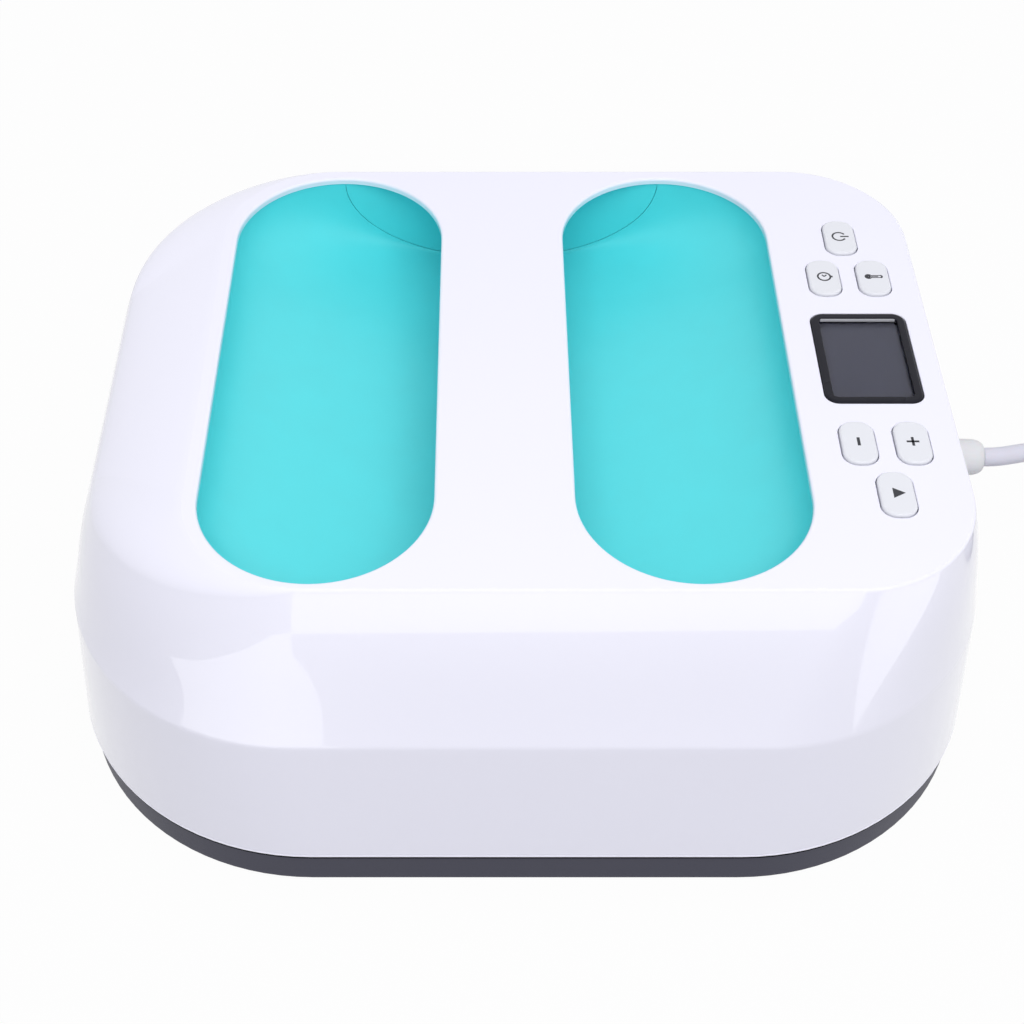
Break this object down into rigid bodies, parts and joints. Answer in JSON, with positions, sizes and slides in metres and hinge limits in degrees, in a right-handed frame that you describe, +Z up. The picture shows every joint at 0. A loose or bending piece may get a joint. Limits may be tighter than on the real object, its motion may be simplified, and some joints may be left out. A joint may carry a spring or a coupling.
{
  "type": "handheld heat press",
  "caption": "Handheld heat press with a heated base plate, a deep hand tub crossed by a grip bar, a display with keys and a mains lead.",
  "frame": {"origin": "centre of the heat plate's working face, at the middle of the body in plan", "axes": "+Z up out of the grip, +X towards the side with the keys and the lead, +Y away from the near side in the picture"},
  "size_m": [0.5576, 0.29, 0.132],
  "materials": {
    "housing": "white, smooth glossy moulding with a faint cool tint",
    "teal_grip": "teal, satin fine-grained moulding",
    "base": "dark slate, satin fine grain, heat resistant",
    "keys": "off-white, soft matte keys with printed pictograms",
    "bezel": "near-black gloss frame of the display",
    "display_glass": "grey display window, switched off",
    "plate_coating": "cast aluminium with a dark non-stick coating",
    "aluminium": "bare sheet and extrusion",
    "steel": "plated steel",
    "felt": "heat-resistant fibre felt",
    "board": "green circuit board",
    "dark_part": "black moulded electrical parts",
    "relay_blue": "blue moulded relay case",
    "ribbon": "grey flat cable",
    "lead_sleeve": "red silicone-sleeved wire",
    "cord": "pale lilac-white flexible lead and its moulded ends",
    "brass": "plug blades and pin"
  },
  "bodies": {
    "press": {"top_housing": "housing", "grip_liner": "teal_grip", "grip_end_near": "teal_grip", "grip_end_far": "teal_grip", "handle_grip": "teal_grip", "base_frame": "base", "heat_plate": "plate_coating", "heating_element": "steel", "insulation_pad": "felt", "heat_shield": "aluminium", "thermistor": "steel", "thermal_cutout": "aluminium", "lcd_bezel": "bezel", "lcd_window": "display_glass", "lcd_module": "dark_part", "control_board": "board", "power_tray": "base", "power_board": "board", "relay": "relay_blue", "heat_sink": "aluminium", "terminal_block": "dark_part", "tilt_switch": "dark_part", "ribbon_cable": "ribbon", "heater_lead_1": "lead_sleeve", "heater_lead_2": "lead_sleeve", "strain_relief": "cord", "cord_clamp": "base", "inner_lead": "cord", "power_cord": "cord", "cord_coil": "cord", "plug_body": "cord", "plug_blade_1": "brass", "plug_blade_2": "brass", "plug_earth_pin": "brass", "handle_screw_1": "steel", "handle_screw_2": "steel", "base_screw_1": "steel", "plate_screw_1": "steel", "board_screw_1": "steel", "base_screw_2": "steel", "plate_screw_2": "steel", "board_screw_2": "steel", "base_screw_3": "steel", "plate_screw_3": "steel", "board_screw_3": "steel", "base_screw_4": "steel", "plate_screw_4": "steel", "board_screw_4": "steel", "switch_power": "dark_part", "switch_timer": "dark_part", "switch_temperature": "dark_part", "switch_minus": "dark_part", "switch_plus": "dark_part", "switch_start": "dark_part"},
    "key_power": {"key_power": "keys"},
    "key_timer": {"key_timer": "keys"},
    "key_temperature": {"key_temperature": "keys"},
    "key_minus": {"key_minus": "keys"},
    "key_plus": {"key_plus": "keys"},
    "key_start": {"key_start": "keys"}
  },
  "joints": [
    {"name": "power_press", "type": "slide", "parent": "press", "child": "key_power", "axis": [0, 0, -1], "range_m": [0, 0.001], "stiffness_N_per_m": 600, "springref_m": -0.0005},
    {"name": "timer_press", "type": "slide", "parent": "press", "child": "key_timer", "axis": [0, 0, -1], "range_m": [0, 0.001], "stiffness_N_per_m": 600, "springref_m": -0.0005},
    {"name": "temperature_press", "type": "slide", "parent": "press", "child": "key_temperature", "axis": [0, 0, -1], "range_m": [0, 0.001], "stiffness_N_per_m": 600, "springref_m": -0.0005},
    {"name": "minus_press", "type": "slide", "parent": "press", "child": "key_minus", "axis": [0, 0, -1], "range_m": [0, 0.001], "stiffness_N_per_m": 600, "springref_m": -0.0005},
    {"name": "plus_press", "type": "slide", "parent": "press", "child": "key_plus", "axis": [0, 0, -1], "range_m": [0, 0.001], "stiffness_N_per_m": 600, "springref_m": -0.0005},
    {"name": "start_press", "type": "slide", "parent": "press", "child": "key_start", "axis": [0, 0, -1], "range_m": [0, 0.001], "stiffness_N_per_m": 600, "springref_m": -0.0005}
  ]
}
